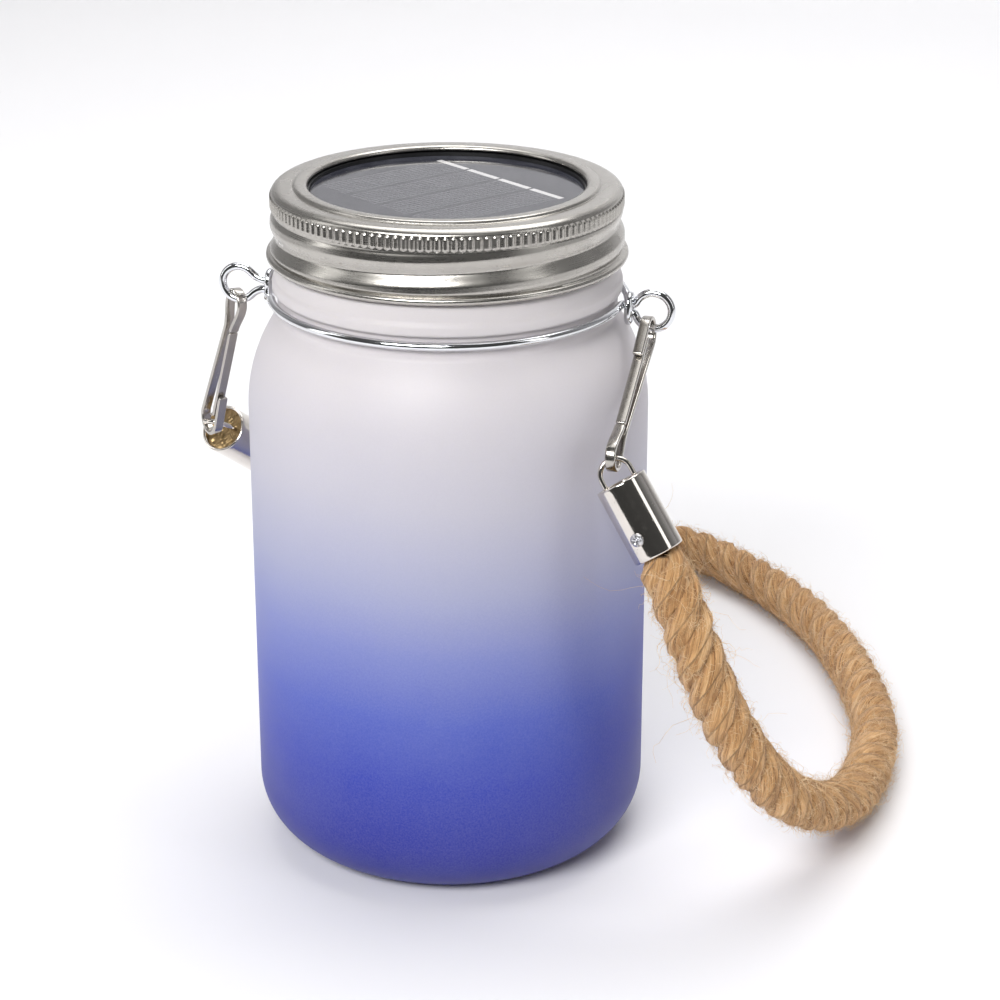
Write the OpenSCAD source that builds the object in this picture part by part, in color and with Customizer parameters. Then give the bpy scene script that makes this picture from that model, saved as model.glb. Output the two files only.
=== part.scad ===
// Mason jar lantern: glass jar with a solar lid, a wire neck hanger, two snap clips and a rope handle.
// Origin at the middle of the jar's base, +Z up, -Y front, +X towards the round hanger loop.

/* [Jar] */
// Outside diameter of the straight wall
body_d = 84; // [83:0.25:84]
// Height at which the wall turns into the shoulder
shoulder_z = 98.4; // [97.6:0.2:98.4]
// Thickness of the glass
wall = 3; // [2.6:0.1:3.4]
// Inside diameter of the mouth
mouth_d = 60; // [60:0.25:61]
// Outside radius of the corner at the base
base_corner_r = 14.5; // [12:0.5:15]

/* [Screw band] */
// Thickness of the band's sheet metal
band_t = 0.45; // [0.35:0.05:0.5]
// Number of knurl ridges round the band
knurl_count = 138; // [90:6:150]
// Diameter of the opening over the solar panel
band_open_d = 57; // [56.8:0.1:57.4]

/* [Solar lid] */
// Diameter of the solar panel
panel_d = 56.2; // [55:0.2:56.4]
// Thickness of the solar panel
panel_t = 1; // [0.8:0.1:1]
// Diameter of the rechargeable cell
cell_d = 10.3; // [9.8:0.1:10.4]
// Length of the rechargeable cell
cell_l = 44.4; // [43:0.2:44.6]
// Diameter of each LED
led_d = 5; // [3:0.5:5]
// Thickness of the bottom cover
cover_t = 1.8; // [1.5:0.1:2]

/* [Hanger] */
// Diameter of the neck wire
wire_d = 1.7; // [1.4:0.1:1.7]
// Radius of the round loop on the right, to the middle of the wire
round_loop_r = 3.8; // [3.7:0.05:3.8]
// Radius of the drop-shaped loop on the left, to the middle of the wire
drop_loop_r = 3.6; // [3.5:0.05:3.6]

/* [Snap clips] */
// Width of the clip strip
strip_w = 2.1; // [1.6:0.1:2.2]
// Thickness of the clip strip
strip_t = 0.9; // [0.7:0.1:0.9]
// Height of the hook's short leg above the end of the clip
hook_leg = 10.4; // [8:0.4:10.4]

/* [Handle] */
// Outside diameter of the end caps
cap_d = 10.6; // [10:0.2:10.8]
// Length of the end caps
cap_l = 16.2; // [16.2:0.1:16.4]
// Wall thickness of the end caps
cap_t = 0.7; // [0.5:0.1:0.9]
// Diameter of the wire in the cap eyes
eye_d = 1.1; // [0.9:0.1:1.1]
// Diameter of the cap screw heads
screw_head_d = 2.8; // [2.4:0.1:3]
// Diameter of the rope
rope_d = 10.7; // [9.6:0.1:10.8]

/* [Hidden] */
$fn = 64;
eps = 0.01;
gap = 0.3;

// Jar
body_r = body_d / 2;
shoulder_r = 33.7;
groove_r = 35.3;
groove_top = 123.65;
bead_r = 36.3;
bead_top = 126.3;
neck_r = 35.7;
neck_top = 129.6;
finish_r = 34.2;
finish_z = 131.6;
rim_z = 143.1;
rim_round = 1.2;
mouth_r = mouth_d / 2;
push_up = 1.6;
foot_r = 24;
floor_t = wall + 0.6;
shoulder_x = body_r - shoulder_r;
groove_angle = acos((groove_r - shoulder_x) / shoulder_r);
mouth_angle = acos((mouth_r - shoulder_x) / (shoulder_r - wall));

// Screw band
knurl_z = 141.16;
knurl_top = 143.87;
knurl_r = 36;
knurl_root = 0.08;
knurl_depth = 0.25;
band_top = 145.35;
ring_mid_r = 30;
ring_half = 1.5;
ring_top = 145.96;
band_open_r = band_open_d / 2;

// Solar lid
flange_z = 144;
flange_top = 144.6;
flange_r = 33.6;
recess_r = panel_d / 2 + 0.1;
recess_z = 142.9;
cup_r = 29.4;
cup_t = 1.6;
cover_z = 126.2;
cup_z = cover_z + cover_t;
ceiling_z = recess_z - 1.6;
boss_r = 2.6;
boss_at = 24.6;
boss_angles = [45, 135, 270];
screw_r = 0.9;
cell_y = -8;
cell_z = 134.8;
contact_t = 0.5;
contact_w = 8;
contact_h = 7;
board_x = 27;
board_y = 15;
board_t = 1.2;
board_mid = [0, 10.5];
board_z = 130.2;
led_x = 8;
led_y = 10;
led_flange = 0.4;
led_body = 4.2;
lead_x = 3;
lead_y = 14;
lead_r = 0.45;
slot_x = 8.5;
slot_y = 3;
switch_at = [9, -19.5];
switch_travel = 1.5;
knob_x = 3.6;
knob_y = 2.2;
knob_h = 1.2;
plate_x = 7;
plate_y = 4.6;
plate_t = 1;

// Hanger: every height is for the middle of the wire
hang_r = 36.6;
leg_z = 121.17;
leg_half = 0.93;
ring_z = leg_z + leg_half;
elbow_r = 1.8;
elbow_x = sqrt(pow(hang_r + elbow_r, 2) - pow(elbow_r, 2));
elbow_a = asin(elbow_r / (hang_r + elbow_r));
leg_end_x = 37.9;
round_loop = [43.2, 120.95];
drop_loop = [45.2, 121.17];
eye_x = 38.3;
eye_half_y = 1.85;
eye_half_z = 2.75;
tie_a = 20;
tie_points = [[-38.2, -2.3, 119.3], [-37.7, -3.9, 119], [-37.1, -6.2, 119.6], [-36.1, -9.3, 121.2]];
round_flare_r = 0.9;
drop_flare_r = 4.8;
wire_sides = 12;

// Snap clips: p is the wire a clip hangs from, v its way down, top how far it reaches above that wire
clip_l = 36.4;
left_p = [-45.8, 0, 117.6];
left_v = [-9.8, 8, -32];
left_top = 1.32;
left_turn = 54;
right_p = [42.4, 0, 117.2];
right_v = [-2.2, -27.9, -18.8];
right_top = 1.25;
right_turn = 182;
wide_r = 3.35;
narrow_r = 2.85;
wide_s = 2.9;
narrow_s = 34;
waist_s = 27;
waist_half = 1.25;
gate_tip_s = 4.8;
gate_tip_x = 1.55;
arc_steps = 16;
leg_steps = 12;

// Handle: e is the top of a cap eye, d the way from it down the cap to the rope
left_e = [-55.5, 7.9, 86.5];
right_e = [39.4, -28.1, 98.3];
left_d = [0.29, 0.77, -0.57];
right_d = [0.53, -0.18, -0.83];
left_roll = 84;
right_roll = 145;
eye_half = 3.2;
eye_rise = 1.65;
mouth_s = eye_half + eye_rise;
divider_s = 2.6;
divider_t = 1.5;
screw_s = 11.5;
screw_turn = 119;
shank_r = 0.8;
shank_l = 3;
head_h = 0.8;
rope_sides = 12;
rope_route = [
  [50.6, -31.9, 80.8], [58.5, -34, 62], [65.5, -32.5, 45], [74, -24.5, 28.5], [81, -9.5, 16.5],
  [86.5, 8.5, 9.5], [89.5, 28, 6.5], [89.5, 48, 5.5], [86, 67.5, 5.5], [80, 86.5, 5.5],
  [72, 105, 5.5], [61.5, 122.5, 5.5], [49, 137.5, 5.5], [33, 149.5, 6.5], [14, 155, 7.5],
  [-6, 152.5, 8.5], [-23, 142.5, 11.5], [-35, 127.5, 16], [-42, 110, 22.5], [-44.5, 92, 30.5],
  [-44.5, 75, 40.5], [-43.8, 58, 51.5], [-45.2, 41, 63.5], [-49.4, 24.1, 74.5]
];

function arc(x, y, r, a, b, n) = [
  for (i = [0:n]) [x + r * cos(a + (b - a) * i / n), y + r * sin(a + (b - a) * i / n)]
];
function aim(v) = [0, acos(v[2] / norm(v)), atan2(v[1], v[0])];
function ease(t) = t * t * (3 - 2 * t);
function unit(v) = v / norm(v);

// Half width of the clip at height s along it, to the middle of the strip
function leg_half_at(s) = s < waist_s
  ? wide_r + (waist_half - wide_r) * (s - wide_s) / (waist_s - wide_s)
  : waist_half + (narrow_r - waist_half) * ease((s - waist_s) / (narrow_s - waist_s));
function leg(side, o, a, b) = [
  for (i = [0:leg_steps]) let (s = a + (b - a) * i / leg_steps) [side * (leg_half_at(s) + o), s]
];
// Edge of the strip at distance o outside its middle, from the hook round to the gate's root
function clip_edge(o) = concat(
  leg(1, o, hook_leg, wide_s),
  arc(0, wide_s, wide_r + o, 0, -180, arc_steps),
  leg(-1, o, wide_s, waist_s),
  leg(-1, o, waist_s, narrow_s),
  arc(0, narrow_s, narrow_r + o, 180, 0, arc_steps),
  leg(1, o, narrow_s, waist_s + gap)
);
function backwards(p) = [for (i = [len(p) - 1:-1:0]) p[i]];

module glass_jar() {
  outer = concat(
    [[0, push_up], [foot_r, push_up], [foot_r + push_up, 0], [body_r - base_corner_r, 0]],
    arc(body_r - base_corner_r, base_corner_r, base_corner_r, -84, 0, 12),
    arc(shoulder_x, shoulder_z, shoulder_r, 0, groove_angle, 16),
    [[groove_r, groove_top - 0.3], [groove_r + 0.3, groove_top]],
    [[bead_r - 0.4, groove_top], [bead_r, groove_top + 0.5], [bead_r, bead_top - 0.6]],
    [[neck_r + 0.2, bead_top], [neck_r, bead_top + 0.4], [neck_r, neck_top]],
    [[finish_r, finish_z], [finish_r, rim_z - rim_round]],
    arc(finish_r - rim_round, rim_z - rim_round, rim_round, 15, 90, 5)
  );
  inner = concat(
    arc(mouth_r + rim_round, rim_z - rim_round, rim_round, 90, 180, 5),
    backwards(arc(shoulder_x, shoulder_z, shoulder_r - wall, 0, mouth_angle, 14)),
    backwards(arc(body_r - base_corner_r, base_corner_r + 0.6, base_corner_r - wall, -90, 0, 10)),
    [[0, push_up + floor_t]]
  );
  color([0.55, 0.68, 0.95, 0.6])
    rotate_extrude($fn = 96) polygon(concat(outer, inner));
}

module screw_band() {
  profile = concat(
    arc(36.6, 131.25, 0.75, 150, 435, 14),
    [[36.6, 133.2], [36.6, 134.5], [36.1, 135.4], [35.3, 136.1], [35.25, 136.9], [35.55, 138.2]],
    [[35.85, 139.6], [knurl_r, 140.6], [knurl_r, 144], [35.75, 144.7], [35.1, 145.2], [34.2, band_top]],
    [[ring_mid_r + ring_half + 0.1, band_top], [ring_mid_r + ring_half - 0.1, 145.7]],
    [[ring_mid_r + ring_half - 0.6, ring_top], [band_open_r + 0.7, ring_top], [band_open_r + 0.2, 145.6]],
    [[band_open_r, 145.1], [band_open_r + 0.3, band_top - band_t]],
    [[34.1, band_top - band_t], [34.8, 144.75], [35.3, 144.4], [knurl_r - band_t, 143.8]],
    [[knurl_r - band_t, 140.7], [35.4, 139.7], [35.1, 138.3], [34.8, 137], [34.85, 135.9]],
    [[35.65, 135.1], [36.15, 134.4], [36.15, 133.3], [35.9, 131.9]]
  );
  color([0.72, 0.7, 0.67]) {
    rotate_extrude($fn = 96) polygon(profile);
    translate([0, 0, knurl_z]) linear_extrude(knurl_top - knurl_z) difference() {
      polygon([
        for (i = [0:2 * knurl_count - 1])
          let (r = knurl_r + knurl_root + knurl_depth * (i % 2), a = 180 * i / knurl_count)
            [r * cos(a), r * sin(a)]
      ]);
      circle(r = knurl_r - band_t / 2, $fn = 96);
    }
  }
}

module insert_housing() {
  color([0.1, 0.1, 0.11])
    difference() {
      union() {
        translate([0, 0, flange_z]) cylinder(r = flange_r, h = flange_top - flange_z);
        translate([0, 0, ceiling_z]) cylinder(r = cup_r, h = flange_top - ceiling_z);
        translate([0, 0, cup_z]) difference() {
          cylinder(r = cup_r, h = ceiling_z - cup_z + eps);
          translate([0, 0, -1]) cylinder(r = cup_r - cup_t, h = ceiling_z - cup_z + 2);
        }
        for (a = boss_angles) rotate([0, 0, a]) translate([boss_at, 0, cup_z])
          cylinder(r = boss_r, h = ceiling_z - cup_z + eps, $fn = 32);
      }
      translate([0, 0, recess_z]) cylinder(r = recess_r, h = 3);
      for (x = [-lead_x, lead_x]) translate([x, lead_y, ceiling_z - 1])
        cylinder(r = 0.9, h = 4, $fn = 24);
      for (a = boss_angles) rotate([0, 0, a]) translate([boss_at, 0, cup_z - 1])
        cylinder(r = screw_r, h = 9, $fn = 24);
    }
}

module solar_panel() {
  color([0.08, 0.1, 0.17])
    translate([0, 0, recess_z]) cylinder(d = panel_d, h = panel_t);
}

module circuit_board() {
  color([0.1, 0.35, 0.2])
    difference() {
      translate([board_mid[0] - board_x / 2, board_mid[1] - board_y / 2, board_z])
        cube([board_x, board_y, board_t]);
      for (x = [-lead_x, lead_x]) translate([x, lead_y, board_z - 1])
        cylinder(r = lead_r + 0.1, h = 3, $fn = 24);
    }
}

module rechargeable_cell() {
  color([0.3, 0.45, 0.35])
    translate([-cell_l / 2, cell_y, cell_z]) rotate([0, 90, 0]) {
      cylinder(d = cell_d, h = cell_l - 1);
      cylinder(d = cell_d * 0.35, h = cell_l, $fn = 32);
    }
}

module battery_contacts() {
  color([0.8, 0.78, 0.7])
    for (side = [-1, 1])
      translate([side * (cell_l / 2 + contact_t / 2), cell_y, cell_z - contact_h / 2])
        translate([-contact_t / 2, -contact_w / 2, 0]) cube([contact_t, contact_w, contact_h]);
}

module leds() {
  color([0.95, 0.95, 0.9])
    for (x = [-led_x, led_x]) translate([x, led_y, board_z]) mirror([0, 0, 1]) {
      cylinder(d = led_d + 0.6, h = led_flange);
      cylinder(d = led_d, h = led_body);
      translate([0, 0, led_body]) sphere(d = led_d);
    }
}

module bottom_cover() {
  color([0.88, 0.9, 0.92, 0.8])
    translate([0, 0, cover_z]) difference() {
      cylinder(r = cup_r, h = cover_t);
      for (x = [-led_x, led_x]) translate([x, led_y, -1]) cylinder(d = led_d + 0.9, h = cover_t + 2);
      translate([switch_at[0] - slot_x / 2, switch_at[1] - slot_y / 2, -1])
        cube([slot_x, slot_y, cover_t + 2]);
      for (a = boss_angles) rotate([0, 0, a]) translate([boss_at, 0, -1])
        cylinder(r = screw_r + 0.2, h = cover_t + 2, $fn = 24);
    }
}

module cover_screws() {
  color([0.7, 0.7, 0.72])
    for (a = boss_angles) rotate([0, 0, a]) translate([boss_at, 0, cover_z]) difference() {
      union() {
        translate([0, 0, -1]) cylinder(r = 1.8, h = 1, $fn = 32);
        cylinder(r = screw_r, h = 7, $fn = 24);
      }
      for (t = [0, 90]) rotate([0, 0, t]) translate([-1.1, -0.2, -1.1]) cube([2.2, 0.4, 0.7]);
    }
}

module lid_gasket() {
  color([0.85, 0.85, 0.83])
    translate([0, 0, flange_z - 0.6]) difference() {
      cylinder(r = flange_r - 0.2, h = 0.6);
      translate([0, 0, -1]) cylinder(r = cup_r + 0.2, h = 3);
    }
}

module lead_wires() {
  color([0.75, 0.15, 0.12])
    for (x = [-lead_x, lead_x]) translate([x, lead_y, board_z])
      cylinder(r = lead_r, h = recess_z - board_z, $fn = 24);
}

module switch_slider() {
  color([0.12, 0.12, 0.13])
    translate([switch_at[0] - switch_travel, switch_at[1], 0]) {
      translate([-plate_x / 2, -plate_y / 2, cup_z + gap]) cube([plate_x, plate_y, plate_t]);
      translate([-knob_x / 2, -knob_y / 2, cover_z - knob_h])
        cube([knob_x, knob_y, knob_h + cover_t + gap + eps]);
    }
}

// Round tube of diameter d swept along a path; first and last are the ways it sets off and arrives
module tube(path, d, sides, first, last) {
  n = len(path);
  ways = [
    for (i = [0:n - 1]) unit(i == 0 ? first : i == n - 1 ? last : path[i + 1] - path[i - 1])
  ];
  side = [
    for (i = 0, u = unit(cross(ways[0], [0.3, 0.2, 1])); i < n;
      i = i + 1, u = i < n ? unit(u - (u * ways[i]) * ways[i]) : u) u
  ];
  rings = [
    for (i = [0:n - 1], k = [0:sides - 1]) let (a = 360 * k / sides)
      path[i] + d / 2 * (cos(a) * side[i] + sin(a) * cross(ways[i], side[i]))
  ];
  skin = [
    for (i = [0:n - 2], k = [0:sides - 1]) let (m = (k + 1) % sides, a = i * sides)
      [a + k, a + sides + k, a + sides + m, a + m]
  ];
  polyhedron(
    points = rings,
    faces = concat(
      skin,
      [[for (k = [0:sides - 1]) k]],
      [[for (k = [sides - 1:-1:0]) (n - 1) * sides + k]]
    )
  );
}

// Neck wire: open eye on the left, half ring round the front, then out to a loop on the right and back
module neck_wire(centre, r, flare_r) {
  eye_z = eye_half_z - eye_half_y;
  up_h = ring_z + flare_r - centre[1];
  down_h = centre[1] - leg_z + leg_half + flare_r;
  up_x = centre[0] - sqrt(pow(r + flare_r, 2) - pow(up_h, 2));
  down_x = centre[0] - sqrt(pow(r + flare_r, 2) - pow(down_h, 2));
  up_a = asin(up_h / (r + flare_r));
  down_a = asin(down_h / (r + flare_r));
  in_eye = concat(
    arc(0, -eye_z, eye_half_y, -62, 0, 5),
    arc(0, eye_z, eye_half_y, 0, 180, 12),
    [[-eye_half_y, -eye_z * 0.6]]
  );
  in_ring = arc(0, 0, hang_r, 180 + tie_a, 360 - elbow_a, 44);
  in_elbow = arc(elbow_x, -elbow_r, elbow_r, 168 - elbow_a, 90, 6);
  in_loop = concat(
    arc(up_x, ring_z + flare_r, flare_r, -90, -up_a, 5),
    arc(centre[0], centre[1], r, 174 - up_a, down_a - 174, 30),
    arc(down_x, leg_z - leg_half - flare_r, flare_r, down_a, 90, 5)
  );
  path = concat(
    [for (p = in_eye) [-eye_x, p[0], leg_z + p[1]]],
    tie_points,
    [for (p = in_ring) [p[0], p[1], ring_z]],
    [for (p = in_elbow) [p[0], p[1], ring_z]],
    [for (p = in_loop) [p[0], 0, p[1]]],
    [[leg_end_x, 0, leg_z - leg_half]]
  );
  color([0.82, 0.83, 0.85])
    tube(path, wire_d, wire_sides, [0, cos(28), sin(28)], [-1, 0, 0]);
}

module front_neck_wire() {
  neck_wire(round_loop, round_loop_r, round_flare_r);
}

module rear_neck_wire() {
  rotate([0, 0, 180]) neck_wire(drop_loop, drop_loop_r, drop_flare_r);
}

// Strip standing in its own plane: sideways along X, up the clip along Y, pressed along Z
module clip_strip() {
  translate([0, 0, -strip_w / 2]) linear_extrude(strip_w)
    polygon(concat(clip_edge(strip_t / 2), backwards(clip_edge(-strip_t / 2))));
}

module gate_strip() {
  half = strip_t / 2;
  translate([0, 0, -strip_w / 2]) linear_extrude(strip_w)
    polygon([
      [waist_half - half, waist_s], [waist_half + half, waist_s],
      [gate_tip_x + half, gate_tip_s + 0.4], [gate_tip_x + half - 0.3, gate_tip_s],
      [gate_tip_x - half, gate_tip_s]
    ]);
}

// Puts a clip with its narrow end up or down; turn sets which way its flat side faces
module hang_narrow_up(p, v, top, turn) {
  translate(p) rotate(aim(v)) rotate([0, 0, turn])
    translate([0, 0, clip_l - top]) rotate([-90, 0, 0]) children();
}

module hang_narrow_down(p, v, top, turn) {
  translate(p) rotate(aim(v)) rotate([0, 0, turn])
    translate([0, 0, -top]) rotate([90, 0, 0]) children();
}

module left_clip() {
  color([0.62, 0.6, 0.57]) hang_narrow_up(left_p, left_v, left_top, left_turn) clip_strip();
}

module left_clip_gate() {
  color([0.66, 0.64, 0.61]) hang_narrow_up(left_p, left_v, left_top, left_turn) gate_strip();
}

module right_clip() {
  color([0.62, 0.6, 0.57]) hang_narrow_down(right_p, right_v, right_top, right_turn) clip_strip();
}

module right_clip_gate() {
  color([0.66, 0.64, 0.61]) hang_narrow_down(right_p, right_v, right_top, right_turn) gate_strip();
}

// Cap standing on its mouth, along +Z towards the rope
module end_cap() {
  color([0.8, 0.78, 0.74])
    difference() {
      translate([0, 0, mouth_s]) difference() {
        cylinder(d = cap_d, h = cap_l);
        translate([0, 0, -1]) cylinder(d = cap_d - 2 * cap_t, h = divider_s + 1);
        translate([0, 0, divider_s + divider_t]) cylinder(d = cap_d - 2 * cap_t, h = cap_l);
      }
      translate([0, 0, mouth_s + screw_s]) rotate([0, 90, screw_turn])
        cylinder(r = shank_r + 0.05, h = cap_d, $fn = 24);
    }
}

module cap_eye() {
  color([0.78, 0.77, 0.75]) {
    translate([0, 0, eye_half]) rotate([90, 0, 0]) rotate([0, 0, 180])
      rotate_extrude(angle = 180, $fn = 48) translate([eye_half, 0]) circle(d = eye_d, $fn = 16);
    for (s = [-1, 1]) translate([s * eye_half, 0, eye_half])
      cylinder(d = eye_d, h = eye_rise + divider_s, $fn = 16);
  }
}

module cap_screw() {
  color([0.7, 0.68, 0.64])
    translate([0, 0, mouth_s + screw_s]) rotate([0, 90, screw_turn]) difference() {
      union() {
        translate([0, 0, cap_d / 2 - shank_l]) cylinder(r = shank_r, h = shank_l + head_h / 2, $fn = 24);
        translate([0, 0, cap_d / 2 + 0.05]) rotate_extrude($fn = 32) polygon([
          [0, 0], [screw_head_d / 2, 0], [screw_head_d / 2, head_h * 0.3],
          [screw_head_d * 0.38, head_h * 0.8], [screw_head_d * 0.2, head_h], [0, head_h]
        ]);
      }
      for (t = [0, 90]) translate([0, 0, cap_d / 2 + head_h / 2]) rotate([0, 0, t])
        translate([-0.75, -0.16, 0]) cube([1.5, 0.32, 1]);
    }
}

module at_left_end() {
  translate(left_e) rotate(aim(left_d)) rotate([0, 0, left_roll]) children();
}

module at_right_end() {
  translate(right_e) rotate(aim(right_d)) rotate([0, 0, right_roll]) children();
}

module left_end_cap() {
  at_left_end() end_cap();
}

module right_end_cap() {
  at_right_end() end_cap();
}

module left_cap_eye() {
  at_left_end() cap_eye();
}

module right_cap_eye() {
  at_right_end() cap_eye();
}

module left_cap_screw() {
  at_left_end() cap_screw();
}

module right_cap_screw() {
  at_right_end() cap_screw();
}

module rope() {
  color([0.72, 0.58, 0.38]) tube(rope_route, rope_d, rope_sides, right_d, -left_d);
}

glass_jar();
screw_band();
insert_housing();
solar_panel();
circuit_board();
rechargeable_cell();
battery_contacts();
leds();
bottom_cover();
cover_screws();
lid_gasket();
lead_wires();
switch_slider();
front_neck_wire();
rear_neck_wire();
left_clip();
left_clip_gate();
right_clip();
right_clip_gate();
left_end_cap();
right_end_cap();
left_cap_eye();
right_cap_eye();
left_cap_screw();
right_cap_screw();
rope();
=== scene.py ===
import math

import bpy
import bmesh
import numpy as np
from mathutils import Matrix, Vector


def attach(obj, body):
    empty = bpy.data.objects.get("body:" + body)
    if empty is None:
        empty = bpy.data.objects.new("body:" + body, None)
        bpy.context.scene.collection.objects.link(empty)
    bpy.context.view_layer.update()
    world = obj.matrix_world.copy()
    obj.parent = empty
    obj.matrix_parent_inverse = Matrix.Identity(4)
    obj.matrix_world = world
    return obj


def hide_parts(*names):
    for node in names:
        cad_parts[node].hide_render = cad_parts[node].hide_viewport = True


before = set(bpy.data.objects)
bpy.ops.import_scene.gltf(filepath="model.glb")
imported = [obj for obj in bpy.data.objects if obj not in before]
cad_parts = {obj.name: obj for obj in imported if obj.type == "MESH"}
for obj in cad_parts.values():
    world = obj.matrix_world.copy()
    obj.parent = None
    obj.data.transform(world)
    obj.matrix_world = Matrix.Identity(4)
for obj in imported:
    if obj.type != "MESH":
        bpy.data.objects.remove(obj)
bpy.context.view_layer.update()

MM = 0.001
CURVE_STEPS = 24
rng = np.random.default_rng(7)

# ---------------------------------------------------------------- camera
cam_data = bpy.data.cameras.new("cam")
cam_data.lens = 98.6
cam_data.sensor_width = 36.0
cam_data.clip_start = 0.01
cam = bpy.data.objects.new("cam", cam_data)
cam.location = (0.1285, -0.5296, 0.2892)
cam.rotation_euler = (math.radians(68.606), 0.0, math.radians(12.5))
bpy.context.scene.collection.objects.link(cam)
bpy.context.scene.camera = cam
bpy.context.scene.view_settings.view_transform = "Standard"


# ---------------------------------------------------------------- mesh helpers
def unit(v):
    v = np.asarray(v, float)
    return v / np.linalg.norm(v)


def add_mesh(name, verts, faces, body=None, mat=None, replaces=(), uv=None):
    """Mesh from points in millimetres. uv is one (u, v) per vertex."""
    me = bpy.data.meshes.new(name)
    verts = np.asarray(verts, float) * MM
    me.vertices.add(len(verts))
    me.vertices.foreach_set("co", verts.ravel())
    sizes = np.array([len(f) for f in faces])
    loops = np.concatenate([np.asarray(f) for f in faces])
    me.loops.add(len(loops))
    me.loops.foreach_set("vertex_index", loops.astype(np.int32))
    me.polygons.add(len(sizes))
    me.polygons.foreach_set("loop_start", np.concatenate([[0], np.cumsum(sizes)[:-1]]).astype(np.int32))
    me.polygons.foreach_set("loop_total", sizes.astype(np.int32))
    if uv is not None:
        layer = me.uv_layers.new(name="lay")
        layer.data.foreach_set("uv", np.asarray(uv, float)[loops].ravel())
    me.update(calc_edges=True)
    me.validate()
    me.polygons.foreach_set("use_smooth", np.full(len(me.polygons), True))
    ob = bpy.data.objects.new(name, me)
    bpy.context.scene.collection.objects.link(ob)
    if mat:
        me.materials.append(mat)
    if body:
        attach(ob, body)
    if replaces:
        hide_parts(*replaces)
    return ob


def crease(ob, angle=35):
    """Sharp edges where the surface turns by more than angle, smooth elsewhere."""
    me = ob.data
    bm = bmesh.new()
    bm.from_mesh(me)
    for e in bm.edges:
        if len(e.link_faces) == 2:
            e.smooth = e.calc_face_angle(0) < math.radians(angle)
    bm.to_mesh(me)
    bm.free()
    return ob


def grid_faces(nu, nv, wrap_u=True, wrap_v=False):
    """Quads of a grid with nu points along u (fastest) and nv along v."""
    iu = np.arange(nu if wrap_u else nu - 1)
    iv = np.arange(nv if wrap_v else nv - 1)
    v, u = np.meshgrid(iv, iu, indexing="ij")
    u2, v2 = (u + 1) % nu, (v + 1) % nv
    return np.stack([v * nu + u, v * nu + u2, v2 * nu + u2, v2 * nu + u], -1).reshape(-1, 4)


def revolve(profile, n=192, closed=True):
    """Points and quads of a profile of (r, z) turned round Z."""
    p = np.asarray(profile, float)
    a = np.linspace(0, 2 * math.pi, n, endpoint=False)
    x = p[:, None, 0] * np.cos(a)[None]
    y = p[:, None, 0] * np.sin(a)[None]
    z = np.repeat(p[:, 1:2], n, 1)
    return np.stack([x, y, z], -1).reshape(-1, 3), grid_faces(n, len(p), True, closed)


def spline(points, step, ends=None):
    """Even points along a smooth curve through the given ones; ends holds its first and last directions."""
    P = np.asarray(points, float)
    if ends is None:
        a, b = P[0] - (P[1] - P[0]), P[-1] + (P[-1] - P[-2])
    else:
        a = P[0] - unit(ends[0]) * np.linalg.norm(P[1] - P[0])
        b = P[-1] + unit(ends[1]) * np.linalg.norm(P[-1] - P[-2])
    Q = np.vstack([a, P, b])
    out = []
    for i in range(1, len(Q) - 2):
        p0, p1, p2, p3 = Q[i - 1], Q[i], Q[i + 1], Q[i + 2]
        gaps = ((p0, p1), (p1, p2), (p2, p3))
        d0, d1, d2 = [max(np.linalg.norm(to - frm), 1e-9) ** 0.5 for frm, to in gaps]
        m1 = (p2 - p1) + d1 * ((p1 - p0) / d0 - (p2 - p0) / (d0 + d1))
        m2 = (p2 - p1) + d1 * ((p3 - p2) / d2 - (p3 - p1) / (d1 + d2))
        for t in np.linspace(0, 1, CURVE_STEPS, endpoint=False):
            out.append((2 * t**3 - 3 * t**2 + 1) * p1 + (t**3 - 2 * t**2 + t) * m1
                       + (-2 * t**3 + 3 * t**2) * p2 + (t**3 - t**2) * m2)
    out.append(Q[-2])
    out = np.array(out)
    s = np.concatenate([[0], np.cumsum(np.linalg.norm(np.diff(out, axis=0), axis=1))])
    n = max(4, int(round(s[-1] / step)) + 1)
    g = np.linspace(0, s[-1], n)
    return np.stack([np.interp(g, s, out[:, k]) for k in range(3)], -1)


def frames(path, up=(0.3, 0.2, 1.0), ends=None):
    """Tangent and two cross directions along a path, carried without twist."""
    T = np.gradient(path, axis=0)
    if ends is not None:
        T[0], T[-1] = unit(ends[0]), unit(ends[1])
    T /= np.linalg.norm(T, axis=1)[:, None]
    U = np.zeros_like(T)
    u = np.cross(T[0], up)
    u /= np.linalg.norm(u)
    for i, t in enumerate(T):
        u = u - np.dot(u, t) * t
        u /= np.linalg.norm(u)
        U[i] = u
    return T, U, np.cross(T, U)


def sweep(path, radius, sides=16, fr=None, section=None):
    """Closed tube along a path. The radius may change along it, and section gives another outline."""
    path = np.asarray(path, float)
    _, U, W = fr or frames(path)
    r = np.broadcast_to(np.asarray(radius, float), (len(path),))
    if section is None:
        a = np.linspace(0, 2 * math.pi, sides, endpoint=False)
        sec = np.stack([np.cos(a), np.sin(a)], -1)
    else:
        sec = np.asarray(section, float)
    n = len(sec)
    across = sec[None, :, :1] * U[:, None] + sec[None, :, 1:] * W[:, None]
    V = path[:, None] + r[:, None, None] * across
    F = [list(f) for f in grid_faces(n, len(path))]
    F.append(list(range(n))[::-1])
    F.append([(len(path) - 1) * n + k for k in range(n)])
    return V.reshape(-1, 3), F


def join(parts):
    """One set of points and faces from several."""
    V, F, n = [], [], 0
    for p in parts:
        V.append(np.asarray(p[0], float))
        F += [[i + n for i in f] for f in p[1]]
        n += len(p[0])
    return np.vstack(V), F


def arc(x, y, r, a, b, n):
    t = np.radians(np.linspace(a, b, n + 1))
    return np.stack([x + r * np.cos(t), y + r * np.sin(t)], -1)


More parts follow.
